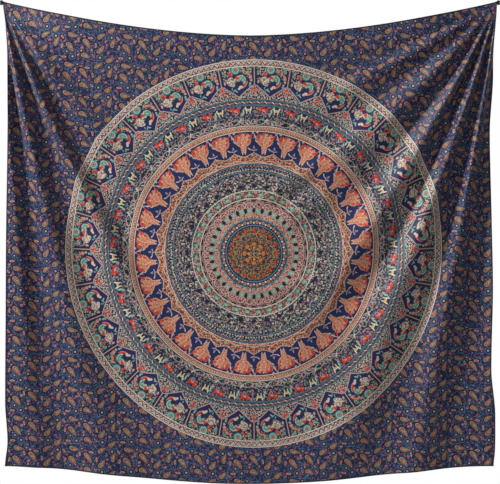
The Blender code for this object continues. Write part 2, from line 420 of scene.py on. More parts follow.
def leaf(p, x, y, wide, tall, turn, bend=0.35, taper=0.45):
    """A bent leaf, blunt at one end and drawn out at the other.  1 on its edge."""
    c, s = math.cos(math.radians(turn)), math.sin(math.radians(turn))
    t = scaled(p.y, c / tall, (x * s - y * c) / tall)
    t = scaled(p.x, -s / tall, t)
    s, c = scaled(p.y, s / wide, -(x * c + y * s) / wide), c / wide
    s = scaled(p.x, c, s)
    t = scaled(s * s, bend, t)
    narrow = scaled(s, -taper, 1.0)
    return length_of(point(s, t / narrow))


def within(value, edge=1.0, soft=0.1):
    """1 where value is below edge, 0 above it, with a soft change between."""
    node = make("ShaderNodeMapRange", interpolation_type="SMOOTHSTEP")
    put(node.inputs["Value"], value)
    node.inputs["From Min"].default_value = edge - soft
    node.inputs["From Max"].default_value = edge + soft
    node.inputs["To Min"].default_value = 1.0
    node.inputs["To Max"].default_value = 0.0
    return Num(node.outputs["Result"])


def beyond(value, edge, soft=0.1):
    """1 where value is above edge, 0 below it."""
    return within(value * -1, -edge, soft)


def line(value, middle, half, soft=0.5):
    return within(abs(value - middle), half, soft)


def linear(paint):
    """A hex colour as linear red, green, blue, alpha."""
    shares = [int(paint[k:k + 2], 16) / 255 for k in (0, 2, 4)]
    return [c / 12.92 if c <= 0.04045 else ((c + 0.055) / 1.055) ** 2.4 for c in shares] + [1.0]


def as_paint(paint):
    return linear(paint) if isinstance(paint, str) else paint


def mixed(first, second, share, blend_type="MIX"):
    node = make("ShaderNodeMix", data_type="RGBA", blend_type=blend_type)
    node.clamp_factor = True
    put(node.inputs[0], share)
    put(node.inputs[6], as_paint(first))
    put(node.inputs[7], as_paint(second))
    return Num(node.outputs[2])


class Canvas:
    """A colour that motifs are laid over, one after another."""

    def __init__(self, paint):
        self.paint = paint

    def lay(self, paint, where):
        self.paint = mixed(self.paint, paint, where)

    def fill(self, paint, value, edge, soft):
        """Paint where value is below edge."""
        self.lay(paint, within(value, edge, soft))

    def stroke(self, paint, value, middle, half, soft=0.5):
        """Paint where value is within half of middle."""
        self.lay(paint, line(value, middle, half, soft))

    def dab(self, frame, paint, soft, *motifs):
        """Ovals of one paint.  Each has a place, two half sizes and sometimes a turn."""
        self.fill(paint, ovals(frame, *motifs), 1, soft)


def choose(value, paints):
    """One of several paints by a value from 0 to 1."""
    paints = paints.split()
    node = make("ShaderNodeValToRGB")
    node.color_ramp.interpolation = "CONSTANT"
    stops = node.color_ramp.elements
    while len(stops) < len(paints):
        stops.new(0.5)
    for k in range(len(paints)):
        stops[k].position = k / len(paints)
    for stop, paint in zip(stops, paints):
        stop.color = linear(paint)
    put(node.inputs[0], value)
    return Num(node.outputs["Color"])


def flat_map(stretch=(1, 1)):
    node = make("ShaderNodeUVMap", uv_map=FLAT_MAP + "_map")
    if stretch == (1, 1):
        return Num(node.outputs[0])
    wider = make("ShaderNodeMapping")
    tree.links.new(node.outputs[0], wider.inputs["Vector"])
    wider.inputs["Scale"].default_value = (*stretch, 1)
    return Num(wider.outputs[0])


def cells(pitch):
    """Scattered cells: the distance to each one's middle, in pitches, and a chance value."""
    node = make("ShaderNodeTexVoronoi", voronoi_dimensions="2D")
    put(node.inputs["Vector"], flat_map())
    node.inputs["Scale"].default_value = 1 / pitch
    grey = make("ShaderNodeRGBToBW")
    tree.links.new(node.outputs["Color"], grey.inputs[0])
    return Num(node.outputs["Distance"]), Num(grey.outputs[0])


def noise(pitch, detail=2.0, at=None, dimensions="2D"):
    node = make("ShaderNodeTexNoise", noise_dimensions=dimensions)
    put(node.inputs["Vector"], at or flat_map())
    node.inputs["Scale"].default_value = 1 / pitch
    node.inputs["Detail"].default_value = detail
    return Num(node.outputs["Fac"])


def chance_of(value):
    """A different chance value for every whole number."""
    node = make("ShaderNodeTexWhiteNoise", noise_dimensions="1D")
    put(node.inputs["W"], value)
    return Num(node.outputs["Value"])


def attribute(name):
    """The three numbers of an attribute."""
    node = make("ShaderNodeAttribute", attribute_name=name)
    split = make("ShaderNodeSeparateColor")
    tree.links.new(node.outputs["Color"], split.inputs[0])
    return [Num(output) for output in split.outputs]


def grouped(build, *inputs):
    """build's nodes in a group of their own.  It is called with one value for each input."""
    global tree
    outer = tree
    tree = bpy.data.node_groups.new(build.__name__, "ShaderNodeTree")
    for k in range(len(inputs)):
        tree.interface.new_socket(f"in_{k}", in_out="INPUT", socket_type="NodeSocketFloat")
    entry = make("NodeGroupInput")
    results = build(*[Num(entry.outputs[k]) for k in range(len(inputs))])
    results = results if isinstance(results, tuple) else (results,)
    for k, result in enumerate(results):
        kind = "NodeSocketColor" if result.socket.type == "RGBA" else "NodeSocketFloat"
        tree.interface.new_socket(f"out_{k}", in_out="OUTPUT", socket_type=kind)
    leave = make("NodeGroupOutput")
    for socket, result in zip(leave.inputs, results):
        put(socket, result)
    inner, tree = tree, outer
    node = make("ShaderNodeGroup", node_tree=inner)
    for socket, value in zip(node.inputs, inputs):
        put(socket, value)
    outputs = [Num(output) for output in node.outputs]
    return outputs if len(outputs) > 1 else outputs[0]


# ---------------------------------------------------------------- the print

NAVY = "1b2354"
INK = "0c0e1e"
TEAL = "4fa89c"
CORAL = "d36c56"
RED = "dc3a28"
WINE = "8c3438"
SALMON = "e58a62"

REPEATS = 32
STEP = 2 * math.pi / REPEATS

# Radii of the print's rings in millimetres of flat cloth, each where a ring starts.
EDGE = 901
BAND = 869
PANEL = 718
ROPE = 687
SPLIT = 661
PARADE = 635
SCROLL = 594
PEACHES = 566
BOUQUET_MIDDLE = 510
BOUQUET_FOOT = 464
SCALLOP_TOP = 461
SCALLOP = 419
WATERS = 377
FLORET = 294
LOZENGE = 273.5
LIGHT = 253
TEETH = 245
TOOTH_FOOT = 238
ARCHES = 212
DROPS = 163
CORE = 124


def spread(value, gain=2.4):
    """Noise gathers about a half; this spreads it over 0 to 1."""
    return scaled(value - 0.5, gain, 0.5)


def ground(x, y):
    """Leaves, buds and curling stems, the same in every tile."""
    wide, tall = 265, 137
    c = Canvas("12184a")
    tint = spread(noise(46, 0.3), 2.8)
    fine = spread(noise(6, 0.5))
    spot, chance = cells(11)
    c.fill(choose(chance, f"{INK} {NAVY} 94546c {INK} 2c6a78 a06478 {NAVY} {INK} 8c5c7c"), spot,
           0.34, 0.05)
    c.lay("0c0f2c", line(noise(29, 0.5), 0.5, 0.075, 0.03) * 0.8)
    c.stroke("587ca8", noise(29, 0.5), 0.5, 0.016, 0.010)
    c.lay("4c6c94", line(noise(21, 0.3), 0.43, 0.014, 0.010) * 0.9)
    frames = {}
    for right in (0, 1):
        for up in (0, 1):
            frames[right, up] = Frame(folded(x - right * wide / 2, wide),
                                      folded(y - up * tall / 2, tall))

    def placed(motif):
        """The frame in which a motif stays clear of the tile's edges, and its place there."""
        mx, my = motif[0] % wide, motif[1] % tall
        right = int(wide / 4 < mx < 3 * wide / 4)
        up = int(tall / 4 < my < 3 * tall / 4)
        mx = (mx - right * wide / 2 + wide / 2) % wide - wide / 2
        my = (my - up * tall / 2 + tall / 2) % tall - tall / 2
        return (frames[right, up], mx, my) + tuple(motif[2:])

    def nearest(shape, motifs):
        return least(*[shape(*placed(m)) for m in motifs])

    dots = ((114, 30, 5, 5), (68, -64, 5, 5), (206, -62, 5, 5), (24, 25, 4.2, 4.2),
            (242, -34, 4.4, 4.4), (32, -52, 4.2, 4.2), (176, -40, 4.2, 4.2), (232, 40, 4.2, 4.2))
    d = nearest(oval, dots)
    c.fill("4c6c94", d, 3.0, 0.25)
    c.fill(INK, d, 2.4, 0.2)
    c.fill("c09c90", d, 1.0, 0.15)
    flowers = ((87, 12, 7.5, 6, 20), (104, -40, 7, 6), (210, 6, 7.5, 6, -20), (38, -58, 6, 6),
               (-22, -20, 7.5, 6, 30), (232, -54, 7, 6.5), (92, -6, 5, 5), (160, 8, 6, 5),
               (250, 30, 6, 7.5), (96, 52, 7, 5.5), (150, 60, 7, 5.5), (24, -30, 6, 5.5))
    d = nearest(oval, flowers)
    c.fill(INK, d, 1.35, 0.15)
    c.fill(choose(tint, "c4808c a45868 c07484 b4584c cc9494 9c6080"), d, 1.0, 0.12)
    c.stroke("4c2c58", d, 0.5, 0.10, 0.08)
    buds = ((14, 25, 12, 4.4, -4), (41, -8, 4.4, 11, 8), (150, -15, 4.6, 10, -8),
            (165, -64, 12, 4.6, -4), (145, 27, 10, 4.4, -48), (222, 15, 4.4, 10, 10))
    d = nearest(oval, buds)
    c.fill(INK, d, 1.4, 0.12)
    c.fill("d8b8ac", d, 1.0, 0.1)
    c.fill(choose(tint, "b43c30 b4583c b86c48 a4442c bc5c50"), d, 0.74, 0.1)
    c.lay("6c3028", within(d, 0.26, 0.1) * 0.7)
    leaves = ((0, 0, 28, 10, -50, 0.30), (68, -27, 22, 10.5, 52, -0.35), (120, 6, 23, 9, 74, 0.4),
              (189, -18, 27, 10.4, -48, 0.3), (194, 36, 24, 9.4, -10, -0.35),
              (64, 37, 21, 9, 32, 0.3), (0, -56, 21, 10, -24, 0.35), (116, -73, 20, 10, 36, -0.3))
    d = nearest(leaf, leaves)
    c.fill(INK, d, 1.30, 0.06)
    c.fill(choose(tint, "c48878 b89c80 bc8890 cc9464 a89490 bc7c6c"), d, 1.0, 0.05)
    c.fill(choose(fine, "34283c 84544c 5c6c54 a06c78 4c5848 a87c54 583848"), d, 0.86, 0.05)
    c.fill(choose(tint, "8c9474 b46454 9c747c 78906c c47050 8c8c80"), d, 0.62, 0.05)
    c.stroke(choose(fine, "2c2030 b85430 c89048 743c34 98a474"), d, 0.38, 0.13, 0.04)
    c.fill("cc9074", d, 0.18, 0.05)
    return c.paint


def zigzag_band(r, turn, inner, outer, base, dark, line_paint, count, pitch):
    """A narrow band of zigzag lines between two pale edges."""
    middle, half = (inner + outer) / 2, (outer - inner) / 2
    along = turn * middle
    c = Canvas(base)
    spot, chance = cells(pitch)
    c.fill(choose(chance, f"{dark} {base} 7c7c60 b88078 {dark} {base} {WINE} 5c4038"), spot, 0.40,
           0.06)
    step = 2 * math.pi * middle / count
    ridge = zigzag(along, step) * half + (middle - half * 0.6)
    c.stroke(dark, r, ridge, 2.6, 0.8)
    c.stroke(line_paint, r - ridge, 6, 1.6, 0.7)
    c.lay("2c1c24", within(abs(abs(r - middle) - half + 5), 1.2, 0.6) * 0.8)
    c.fill(line_paint, abs(abs(r - middle) - half + 1.9), 1.9, 0.5)
    return c.paint


def panels(r, a):
    """Birds in pointed arches, with flowers between the points."""
    x = a * r
    depth = BAND - r
    p = Frame(x, depth)
    half = r * (STEP / 2)
    drop = most(depth - 84, 0.0)
    side = half - calc("POWER", drop * (1 / 62), 0.86) * 76
    from_side = side - abs(x)
    c = Canvas("1a1f52")
    spot, chance = cells(7.2)
    speck = within(spot, 0.42, 0.05)
    leafy = most(within(depth * 0.8 + abs(x) * -0.62, 8, 8), within(depth, 26, 6))
    c.lay("171b3c", leafy)
    c.lay(choose(chance, f"d4a8a0 8cac94 c8a890 9aa484 d89c94 {INK} d8c8b0 4c9084 b88c80"),
          speck * leafy)
    c.lay("161a48", within(abs(abs(x) - half + 8.5), 4.5, 0.8) * within(depth, 80, 3)
          * beyond(depth, 8, 2))
    c.lay("1a1d58", within(oval(p, 0, 66, 62, 56), 1, 0.02)
          * beyond(oval(p, 2, 50, 50, 42), 1, 0.02)
          * beyond(depth, 40, 4))
    # The bird: tail arc, head, body, wing and legs.
    tail = line(length_of(seen_from(p, 12, 66)), 29, 4.6, 0.8)
    c.lay(RED, tail * beyond(depth, 72, 2) * within(x * -1, -8, 2))
    c.lay("e09080", line(length_of(seen_from(p, 12, 66)), 33, 1.5, 0.6)
          * beyond(depth, 66, 2) * within(x * -1, -8, 2))
    c.dab(p, "dcc8b0", 0.12, (13, 94, 9, 7), (4, 101, 6, 6))
    body = most(within(leaf(p, -30, 70, 24, 17, 62, 0.15, 0.4), 1, 0.06),
                within(oval(p, -6, 62, 20, 10, -8), 1, 0.08))
    c.lay("dcc8b0", body)
    c.lay(choose(chance, "c89890 e0d0b8 ecdcc0 c4b098 e0ccb4 b0948c"), body * speck)
    c.lay("4c3c4c", beyond(spot, 0.50, 0.07) * body * 0.8)
    wing = oval(p, 19, 60, 21, 23)
    feather = within(wing, 1, 0.06) * beyond(oval(p, 8, 76, 17, 16, 20), 1, 0.06)
    c.lay("94bca4", feather)
    c.lay("d4d8bc", line(wing, 0.84, 0.06, 0.04) * feather)
    c.lay("47706c", line(wing, 0.60, 0.07, 0.05) * feather)
    c.lay("5c8c7c", beyond(spot, 0.52, 0.07) * feather)
    c.dab(p, "24284c", 0.15, (-6, 78, 5, 7, 30), (-2, 68, 8, 3, 10), (2, 84, 4, 5))
    c.dab(p, "64aaa4", 0.12, (-18, 108, 10, 3.4, -34), (-28, 100, 3, 7, 10), (56, 88, 6, 7, 30))
    c.dab(p, "9cc0b0", 0.12, (-10, 112, 9, 2.8, 40), (58, 78, 5, 4))
    c.dab(p, "c8a894", 0.14, (62, 50, 8, 7), (64, 64, 6, 6), (60, 38, 7, 5), (-60, 70, 5, 8),
          (-64, 92, 4, 6), (-54, 56, 5, 4))
    c.dab(p, CORAL, 0.14, (50, 30, 8, 5, 30), (62, 38, 5, 5), (34, 22, 8, 5), (64, 52, 3, 3))
    c.dab(p, "e8b8a0", 0.2, (47, 26, 4, 2.5, 30), (31, 19, 4, 2.4))
    c.dab(p, TEAL, 0.12, (58, 14, 9, 5, -30), (-62, 24, 8, 4, 30))
    # Red accents and the flower at the rim.
    c.dab(p, RED, 0.12, (-35, 26, 9, 5.4, -40), (-27, 38, 8, 5, -40), (-2, 50, 9, 7, 25))
    c.dab(p, "eca888", 0.2, (-32, 21, 4, 2), (-24, 33, 3, 2), (6, 44, 8, 3, 32))
    rim = length_of(seen_from(p, -6, 13))
    c.fill("1c3c50", rim, 22.5, 0.8)
    c.fill("50a098", rim, 20.5, 0.8)
    c.stroke("a8ccb4", rim, 13.5, 1.9, 0.8)
    c.stroke("2c6c74", rim, 9, 1.6, 0.8)
    c.fill("d8c4a8", rim, 7.5, 0.8)
    c.fill(RED, rim, 6, 0.8)
    # Spandrels, outside the arch's two slopes.
    outside = within(from_side, 0.0, 0.6)
    c.lay("191d40", outside)
    c.lay(choose(chance, "a8bca0 d8a8a0 8ab09c b8b094 e0d0b8 d49c98 78a090"), outside * speck)
    q = Frame(half - abs(x), depth)
    petals = ovals(q, (0, 106, 12.5, 12), (0, 124, 9, 8), (9, 114, 6, 6))
    petals = within(petals, 1, 0.08) * outside
    c.lay("dc9c90", petals)
    c.lay("6c3c44", beyond(spot, 0.48, 0.07) * petals)
    c.lay("b05c58", line(oval(q, 0, 106, 9.5, 9), 1, 0.10, 0.06) * outside)
    c.lay(RED, within(oval(q, 0, 101, 6.5, 7), 1, 0.1) * outside)
    c.lay("5c5c58", within(oval(q, 0, 115, 3.5, 3.5), 1, 0.15) * outside)
    c.lay(INK, within(abs(from_side), 5.5, 0.7) * 0.7)
    c.fill("cca8a4", abs(from_side) - beyond(depth, 84, 4) * 1.3, 2.1, 0.6)
    return c.paint


def rope(r, turn):
    """A dark band of twisted strands between two thin blue lines."""
    middle = (PANEL + ROPE) / 2
    x = turn * middle
    y = r - middle
    c = Canvas("14183c")
    pitch = STEP * middle / 4
    p = Frame(folded(x, pitch), y)
    c.dab(p, "8c6660", 0.1, (0, 0, 12, 5))
    c.lay("b88474", within(oval(p, -2, 1, 6, 2.4), 1, 0.2) * 0.8)
    p = Frame(folded(x - pitch / 2, pitch), y)
    c.dab(p, "e6dcb4", 0.15, (0, 0, 9, 2.3, -35))
    c.stroke("6490a8", abs(y), 9.2, 1.0, 0.5)
    c.stroke("7c9ca8", abs(y), 14.4, 1.2, 0.5)
    return c.paint


def parade(r, a):
    """Red and pale animals walking round, over scrolls of stems."""
    middle = (PARADE + ROPE) / 2
    x = a * middle
    y = r - PARADE
    p = Frame(x, y)
    c = Canvas("191f50")
    spot, chance = cells(7.5)
    busy = within(abs(x - 37) * -1, -17, 4)
    c.lay(choose(chance, "0e1028 5c7c84 0e1028 a09498 14183c 84546c 6c9484 b88c90"),
          within(spot, 0.44, 0.05) * most(busy, within(y, 14, 3)))
    c.dab(p, "c08c8c", 0.15, (-54, 40, 5, 5), (-2, 44, 5, 4), (63, 42, 4, 5), (8, 8, 6, 5),
          (-48, 6, 6, 4))
    c.dab(p, "8c9478", 0.15, (-58, 24, 3, 8, 20), (66, 20, 3, 8, -14), (-64, 8, 6, 3))
    red = ovals(p, (-24, 33, 20, 6.5), (-41, 40, 7, 6, 30), (-6, 38, 4, 7, -20),
                (-38, 22, 2.8, 9, -12), (-27, 20, 2.6, 9, 10), (-12, 21, 2.8, 10, -8),
                (-6, 25, 2.6, 9, 14), (-32, 44, 3, 6, -10))
    c.lay(INK, within(red, 1.35, 0.1) * 0.7)
    c.fill("d8402c", red, 1, 0.12)
    c.dab(p, "f0a078", 0.2, (-24, 31, 7, 2.6), (-43, 34, 4, 2.6), (-18, 25, 3, 3))
    c.stroke("8cacb0", oval(p, -20, 20, 7, 7), 1, 0.22, 0.1)
    c.dab(p, "7c84b4", 0.2, (-20, 9, 5, 3))
    pale = ovals(p, (37, 31, 14, 6), (25, 40, 3.4, 9, 14), (49, 40, 3.4, 9, -14), (29, 21, 2.6, 8),
                 (45, 21, 2.6, 8))
    c.fill("0f1230", pale, 1.4, 0.1)
    c.fill("e4dcac", pale, 1, 0.12)
    c.dab(p, "d89058", 0.2, (37, 29, 8, 3.4))
    c.dab(p, "9cccb8", 0.14, (14, 26, 4, 10, 6), (19, 38, 5, 3, 30), (9, 15, 7, 2.8, -30))
    return c.paint


def scroll(r, a):
    """Curled stems with leaves and small flowers."""
    x = a * (SCROLL + PARADE) / 2
    y = r - SCROLL
    p = Frame(x, y)
    c = Canvas("16182c")
    spot, chance = cells(6.8)
    c.fill(choose(chance, "9c94a0 0e1028 b89c9c 6c7c6c 0e1028 a8a894 c48888"), spot, 0.42, 0.05)
    curls = least(abs(oval(p, -34, 17, 25, 11, 8) - 1), abs(oval(p, 20, 15, 23, 10, -10) - 1),
                  abs(oval(p, 64, 19, 17, 10) - 1), abs(oval(p, -72, 19, 17, 10) - 1))
    c.fill("0e1028", curls, 0.24, 0.05)
    c.fill("c4b8b8", curls, 0.12, 0.05)
    c.dab(p, "8cb8a4", 0.14, (-20, 10, 8, 3, 20), (34, 24, 8, 3, -24), (2, 26, 6, 3, 40))
    c.dab(p, "d08c90", 0.14, (-50, 22, 6, 5), (8, 15, 6, 5), (48, 10, 6, 5))
    c.dab(p, "c04848", 0.2, (-50, 22, 2.8, 2.4), (8, 15, 2.8, 2.4))
    c.dab(p, "e8e0d4", 0.2, (-4, 26, 12, 1.9, 50), (26, 11, 10, 1.8, -42))
    return c.paint


def bouquets(r, a):
    """Flower heads on short stems that point inward, with small sprigs between them."""
    x = a * BOUQUET_MIDDLE
    y = r - BOUQUET_FOOT
    p = Frame(x, y)
    c = Canvas("18265c")
    jag = zigzag(y + abs(x) * 0.8, 11)
    tall = scaled(jag, -0.16, 1.0)
    head = oval(Frame(x / tall, y), 0, 62, 39, 31)
    neck = oval(Frame(x / tall, y), 0, 28, 15, 25)
    top = oval(p, 0, 78, 42, 19)
    frill = abs(zigzag(x + 4, 13) - 0.5) * 0.5
    outline = least(head, neck, top + frill)
    c.fill("0e1238", outline, 1.10, 0.03)
    c.fill("ecc0a4", outline, 1.0, 0.03)
    inner = within(outline, 0.92, 0.03)
    row = calc("FLOOR", y / 12)
    fan = x / (y * 0.006 + 0.45) + row * 5
    spot = length_of(point(folded(fan, 10) * 0.11, (calc("FRACT", y / 12) - 0.42) * 0.85))
    chance = chance_of(calc("ROUND", fan / 10) * 7 + row * 3)
    c.lay("803430", inner)
    petals = within(spot, 0.50, 0.05) * inner
    c.lay(choose(chance, f"{SALMON} f0a484 e8784c f4b48c {SALMON} e06a48 f0b89c e89468"), petals)
    c.lay("f4ccac", line(spot, 0.42, 0.05, 0.04) * petals * 0.8)
    c.dab(p, RED, 0.14, (-28, 78, 6.5, 14, -8), (-12, 90, 9, 5, 10), (31, 74, 9, 5, 32),
          (12, 88, 4, 8, -20), (24, 56, 4, 9, -30), (38, 84, 4, 7, -20), (-14, 46, 3, 7, 20))
    c.dab(p, "151a48", 0.2, (-20, 96, 2.4, 8, 12), (17, 95, 2.4, 9, -16), (34, 94, 2.4, 9, -26),
          (4, 98, 2, 6))
    c.dab(p, "e8c4b4", 0.18, (-46, 80, 3, 17, 24), (-54, 96, 2.6, 8, 8), (-8, 4, 2.2, 9, 10),
          (8, 4, 2.2, 9, -14), (27, 22, 9, 2.6, -38), (-40, 58, 2.6, 8, 40))
    c.dab(p, "d0b4b8", 0.14, (55, 74, 7, 7.5), (-60, 74, 3.6, 3.6), (47, 96, 6, 5),
          (-36, 98, 5, 4))
    c.dab(p, "a84450", 0.2, (55, 74, 2.8, 3), (47, 96, 2.4, 2))
    side = STEP / 2 * BOUQUET_MIDDLE
    q = Frame(side - abs(x), y)
    c.dab(q, "c4acb4", 0.18, (0, 31, 2.6, 6), (9, 17, 8.5, 2.4, 16), (0, 11, 1.6, 9),
          (4, 25, 2, 2))
    away = (side - abs(x)) * (1 / side)
    edge = calc("POWER", 1 - away, 1.4) * 20 - 15 + abs(zigzag(away, 0.5) - 0.5) * 6
    c.fill("6c2c34", y - edge - 2, 0.0, 0.8)
    c.fill("ecc8b0", abs(y - edge + 1.5), 1.7, 0.6)
    return c.paint, edge


def woven_ring(pitch, paints, base, size):
    """A ring's base of small specks."""
    c = Canvas(base)
    spot, chance = cells(pitch)
    c.fill(choose(chance, paints), spot, size, 0.06)
    return c


def outer_band(r, turn):
    return zigzag_band(r, turn, BAND, EDGE, "cbb0a2", "40242c", "ece0d4", 220, 8)


def peach_band(r, turn):
    return zigzag_band(r, turn, PEACHES, SCROLL, "e8a480", "94483c", "ecdcc8", 288, 7)


def scallops(r, turn):
    """The warm ring between the bouquets and the blue lines."""
    c = woven_ring(7, "f0945c e0a080 c89080 ecc4a8 a0906c dc6c48 5c2c34 e89c74", "643c3c", 0.46)
    c.stroke("f0c0a0", r - 436, zigzag(turn, STEP) * -12, 1.6, 0.7)
    c.stroke("e8c8b0", r, SCALLOP + 2, 1.6)
    return c.paint


def waters(r, turn):
    """Teal and blue lines with small dots."""
    c = woven_ring(7, "64a498 0e1228 e0d4b4 b88488 d4a8a4 0e1228 c0b49c", "0e1228", 0.45)
    dashes = within(zigzag(turn, STEP / 5), 0.5, 0.15)
    c.lay("0e1230", line(r, 400, 5.5) * dashes)
    c.lay("6c98a4", line(r, 398, 2.0) * (1 - dashes))
    for middle, paint in ((413, "58849c"), (381, "6490a4")):
        c.stroke("141838", r, middle, 4.2)
        c.stroke(paint, r, middle, 1.9)
    dots = point(folded(turn * 390, STEP * 390 / 6), r - 390)
    c.fill("dccca8", length_of(dots), 3.0, 0.6)
    dots = point(folded(turn * 406, STEP * 406 / 5), r - 406)
    c.fill("cc8c8c", length_of(dots), 3.0, 0.6)
    return c.paint


def florets(r, a, b):
    """A dark ring of small flowers."""
    c = woven_ring(8, "84947c 8c8090 507470 d8c8a8 644c70 7c7c74 b4848c 94a088 101028", "101228",
                   0.44)
    n = Frame(a * 345, r)
    m = Frame(b * 345, r)
    c.dab(n, "94929c", 0.15, (0, 354, 12, 3.6, 14), (-24, 348, 9, 3, -24), (26, 366, 9, 2.8, 20))
    c.dab(n, "e0d0b0", 0.15, (8, 338, 5, 4), (-20, 364, 4, 3.4))
    c.dab(m, "14163c", 0.1, (0, 314, 13, 8))
    c.dab(n, "c8bcb4", 0.12, (0, 310, 8, 5), (14, 320, 5, 3))
    c.dab(m, "b06c74", 0.15, (0, 332, 5, 4))
    return c.paint


def lozenges(r, a):
    """A pale band with red dashes and mint lozenges."""
    c = woven_ring(7, "94ac98 dcccbc 6c5850 dcb0a4 98b4a0 484440 c49890", "4c4c48", 0.47)
    n = Frame(a * 273, r)
    c.dab(n, "3c4848", 0.08, (6, 272, 15, 10))
    c.dab(n, "84b09c", 0.1, (6, 272, 13, 8))
    c.dab(n, "b8ccb8", 0.2, (4, 274, 6, 3))
    c.dab(n, RED, 0.14, (-17, 276, 8, 3.2, 16), (-20, 266, 4, 3))
    c.dab(n, "d8a4a0", 0.15, (-22, 284, 4, 3))
    return c.paint


def arches(r, a, b):
    """Two rows of overlapping round arches."""
    c = woven_ring(6.8, "d8a098 b88078 8c9884 e4c0b0 cc9890 4c3038 a48470", "5c4448", 0.47)
    arch = abs(length_of(seen_from(Frame(a * 228, r), 0, 218)) - 19)
    c.fill("ecb8ac", arch, 1.9, 0.7)
    c.stroke("4c3038", arch, 4.8, 1.3, 0.6)
    arch = abs(length_of(seen_from(Frame(b * 228, r), 0, 220)) - 15)
    c.fill("dca098", arch, 1.7, 0.7)
    return c.paint


def lobes(r, a, b):
    """Mint lobes, dark drops and red buds."""
    c = woven_ring(6.8, "98b49c d8a8a0 8c9880 c8b8a0 e0bcac 3c4844 c08c80", "4c4c48", 0.47)
    n = Frame(a * 190, r)
    m = Frame(b * 190, r)
    c.dab(n, "8cb8a0", 0.08, (0, 197, 9.5, 11))
    c.dab(n, "b8ccb4", 0.2, (-1, 200, 4, 4))
    c.stroke("e0a89c", oval(n, 0, 197, 12, 14), 1, 0.10, 0.05)
    c.fill("101438", leaf(m, 0, 203, 12.5, 7, 90, 0.0, 0.5), 1, 0.08)
    c.dab(m, "e09c8c", 0.1, (0, 177, 9.5, 8))
    c.dab(m, "e05840", 0.15, (0, 175, 5, 4.4))
    c.dab(n, "d4a898", 0.15, (0, 172, 6, 5))
    return c.paint


def beads(r, a, b):
    """Blue rings with orange and white beads between them."""
    c = Canvas("171f40")
    n = Frame(a * 146, r)
    m = Frame(b * 146, r)
    c.dab(n, "cc8460", 0.1, (0, 147, 7.5, 8))
    c.dab(n, "8c5c4c", 0.15, (0, 147, 3, 3))
    c.dab(m, "ece8e0", 0.15, (0, 143, 4.4, 4.4))
    c.dab(m, "3c6468", 0.15, (0, 153, 5, 4))
    c.stroke("0e1230", abs(r - 146), 14.5, 4.2, 0.6)
    c.stroke("6090ac", abs(r - 146), 14.5, 2.3, 0.6)
    return c.paint


def core(x, y, r, turn):
    """Mosaic with red buds at its rim and orange petals round a small cross."""
    c = woven_ring(7.2, "9c8458 b46c50 6c5c58 8c7c44 b08c84 4c3038 cc8c54 748460 3c2c34", "382c30",
                   0.46)
    spokes = abs(folded(turn, 2 * math.pi / 16)) * 108
    c.fill(RED, length_of(point(spokes, r - 108)), 7.0, 0.8)
    c.stroke("c0985c", r - 86, zigzag(turn, 2 * math.pi / 16) * 12, 1.6, 0.7)
    c.stroke("a87868", r - 66, zigzag(turn, 2 * math.pi / 12) * 10, 1.4, 0.7)
    petals = abs(folded(turn, 2 * math.pi / 8)) * 40
    c.dab(Frame(petals, r), "3c2430", 0.1, (0, 44, 13, 11))
    c.dab(Frame(petals, r), "d87c38", 0.1, (0, 44, 10.5, 8.5))
    c.dab(Frame(petals, r), "e8a860", 0.1, (0, 26, 5, 7))
    c.lay(INK, within(abs(abs(x) - abs(y)) * 0.7, 1.8, 0.6) * within(r, 24, 1.5))
    c.fill("7c9c84", r, 6, 0.8)
    return c.paint


def print_paint(inner):
    """The print inside SPLIT, or the print outside it."""
    x, y, behind = attribute(FLAT_MAP)
    r = length_of(point(x, y))
    turn = calc("ARCTAN2", x, y)
    a = folded(turn - STEP / 2, STEP)
    b = folded(turn, STEP)

    def ring(build, *inputs, reach):
        c.fill(grouped(build, *inputs), r, reach, 0.8)

    if not inner:
        c = Canvas(grouped(ground, x, y))
        ring(outer_band, r, turn, reach=EDGE)
        ring(panels, r, a, reach=BAND)
        ring(rope, r, turn, reach=PANEL)
        ring(parade, r, a, reach=ROPE)
        return c.paint, behind, x, y
    c = Canvas(grouped(parade, r, a))
    ring(scroll, r, a, reach=PARADE)
    ring(peach_band, r, turn, reach=SCROLL)
    paint, edge = grouped(bouquets, r, a)
    c.fill(paint, r, PEACHES, 0.8)
    c.fill(grouped(scallops, r, turn), r - edge, SCALLOP_TOP, 0.8)
    ring(waters, r, turn, reach=SCALLOP)
    ring(florets, r, a, b, reach=WATERS)
    ring(lozenges, r, a, reach=FLORET)
    c.stroke("e4dccc", abs(r - LOZENGE), 19, 2.0, 0.6)
    c.fill("a88078", r, LIGHT - 1, 0.8)
    c.lay(INK, within(abs(b * 249) * 0.8 - (r - TOOTH_FOOT), 0.0, 0.7) * within(r, LIGHT - 1, 0.6))
    ring(arches, r, a, b, reach=TEETH)
    ring(lobes, r, a, b, reach=ARCHES)
    ring(beads, r, a, b, reach=DROPS)
    ring(core, x, y, r, turn, reach=CORE)
    return c.paint, behind, x, y


# ---------------------------------------------------------------- materials

def new_material(name):
    global tree
    material = bpy.data.materials.new(name)
    material.use_nodes = True
    tree = material.node_tree
    shader = tree.nodes["Principled BSDF"]
    return material, shader


def bump(shader, height, strength, distance):
    node = make("ShaderNodeBump")
    node.inputs["Strength"].default_value = strength
    node.inputs["Distance"].default_value = distance
    put(node.inputs["Height"], height)
    tree.links.new(node.outputs["Normal"], shader.inputs["Normal"])


def weave(x, y, pitch):
    """Height of a plain weave whose threads lie pitch apart."""
    over = calc("SINE", x * (math.pi / pitch))
    under = calc("SINE", y * (math.pi / pitch))
    return over * under


# In millimetres of flat cloth: the weave, its thicker threads and the worn patches.
WEAVE = 1.6
SLUB = 12
SLUB_STRETCH = (8, 0.4)
WORN_PATCH = 330


